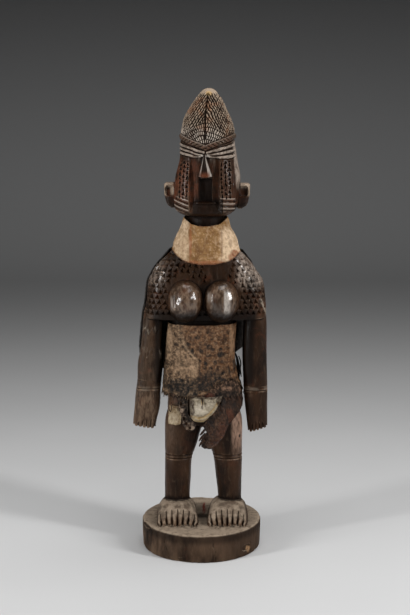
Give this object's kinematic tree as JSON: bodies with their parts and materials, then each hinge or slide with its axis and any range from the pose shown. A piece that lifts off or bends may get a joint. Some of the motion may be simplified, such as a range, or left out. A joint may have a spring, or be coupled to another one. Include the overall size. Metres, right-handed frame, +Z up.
{
  "type": "fertility figure",
  "caption": "Standing female figure carved in dark wood on a round base, with a tall cone of hair, knife-notched shoulders, rawhide collar, hide wrap, leather cape and loincloth.",
  "frame": {"origin": "middle of the object's outline, on the surface that the base stands on", "axes": "+Z up along the figure's height, the figure faces -Y, and +X points to the viewer's right as one looks at its face"},
  "size_m": [0.2004, 0.178, 0.683],
  "materials": {
    "figure": "dark worn patina, dusty on the base and hair",
    "collar": "pale dry rawhide with a reddish stain at the lower edge",
    "cape": "black dry leather",
    "waist_wrap": "spotted brown hide, worn matt",
    "thigh_flap": "pale yellowish rawhide",
    "right_strip": "grey-brown spotted hide",
    "left_strip": "grey-brown hide",
    "hip_flap": "dark brown leather with a red stain",
    "pubic_pouch": "whitish creased rawhide"
  },
  "bodies": {
    "root": {"figure": "figure", "collar": "collar", "cape": "cape", "waist_wrap": "waist_wrap", "thigh_flap": "thigh_flap", "right_strip": "right_strip", "left_strip": "left_strip", "hip_flap": "hip_flap", "pubic_pouch": "pubic_pouch"}
  },
  "joints": []
}
